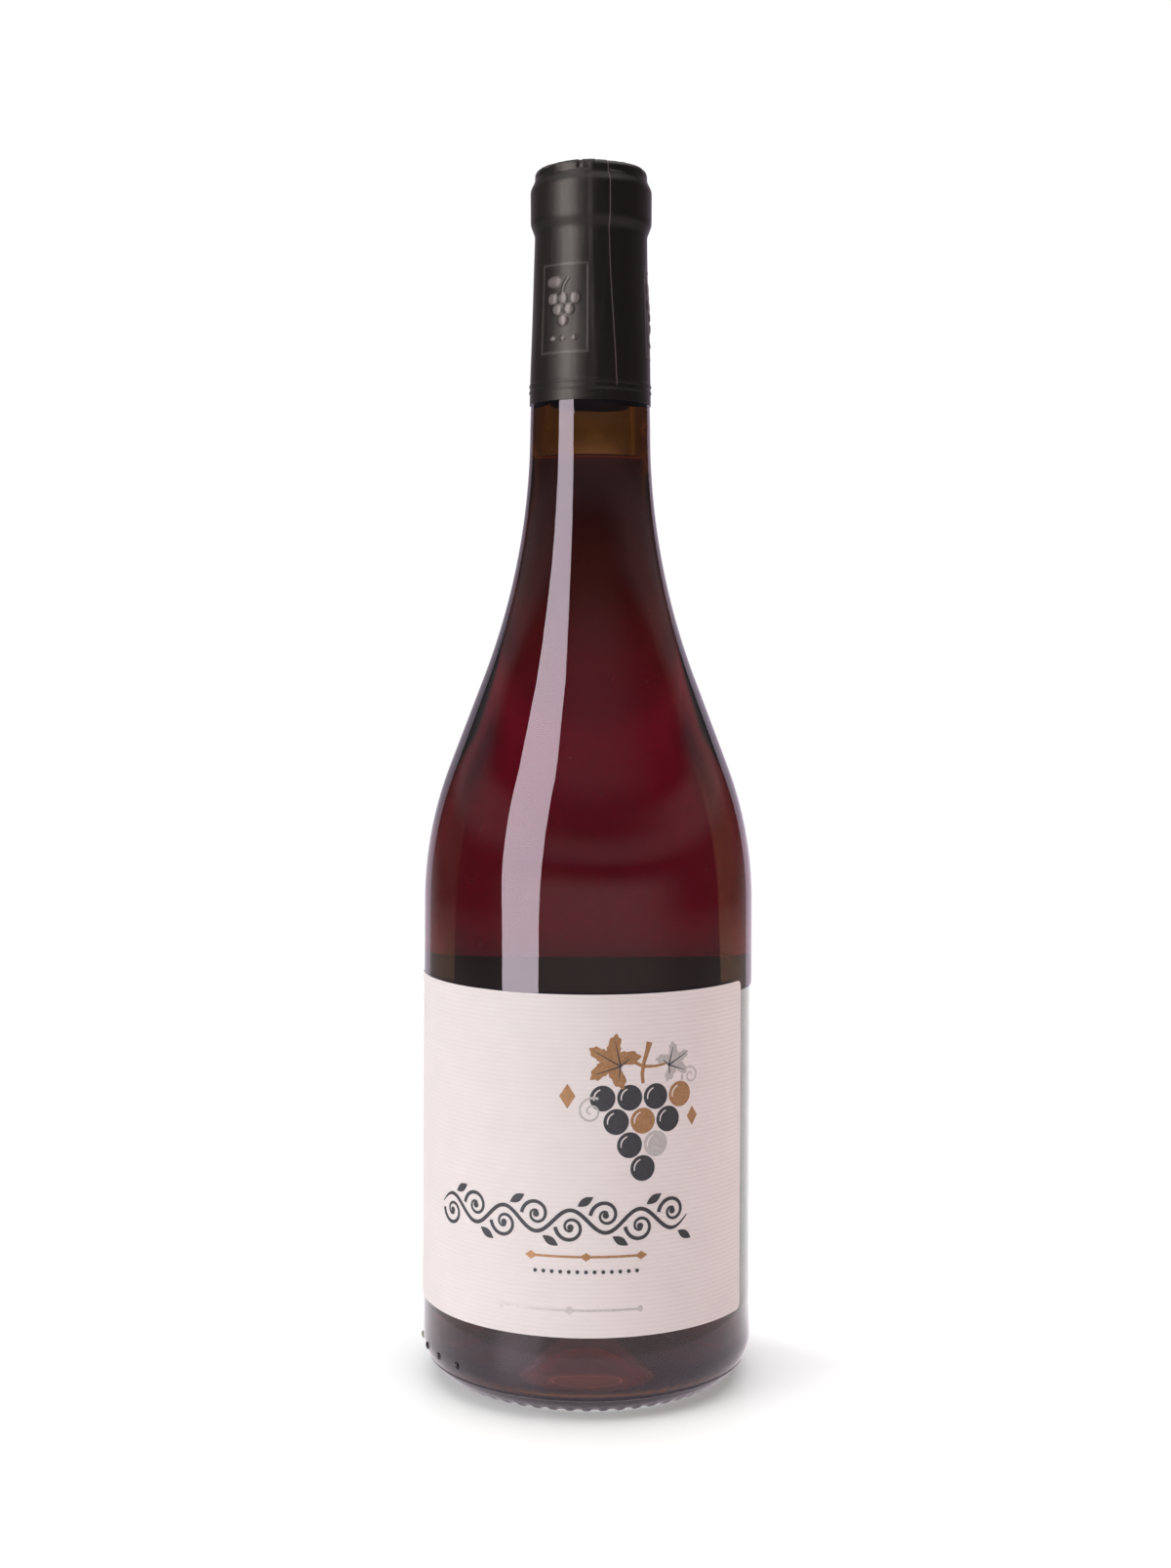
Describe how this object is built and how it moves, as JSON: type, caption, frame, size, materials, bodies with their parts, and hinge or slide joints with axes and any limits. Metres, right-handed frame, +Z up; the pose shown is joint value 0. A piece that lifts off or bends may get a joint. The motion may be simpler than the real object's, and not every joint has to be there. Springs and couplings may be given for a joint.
{
  "type": "wine bottle",
  "caption": "Full, sealed glass wine bottle with sloping shoulders, red wine inside, a shrunk capsule over its mouth and blank-style paper labels.",
  "frame": {"origin": "centre of the base, at the height that the bottle stands on", "axes": "+Z up along the bottle's axis; the front label faces -Y; +X to the right of someone who looks at it"},
  "size_m": [0.0822, 0.0825, 0.3003],
  "materials": {
    "bottle_glass": "fire-polished, pale olive-brown",
    "wine": "clear dark red liquid",
    "capsule_film": "satin black shrink film",
    "label_paper": "uncoated off-white laid paper"
  },
  "bodies": {
    "root": {"glass_bottle": "bottle_glass", "wine": "wine", "capsule": "capsule_film", "front_label": "label_paper", "back_label": "label_paper"}
  },
  "joints": []
}
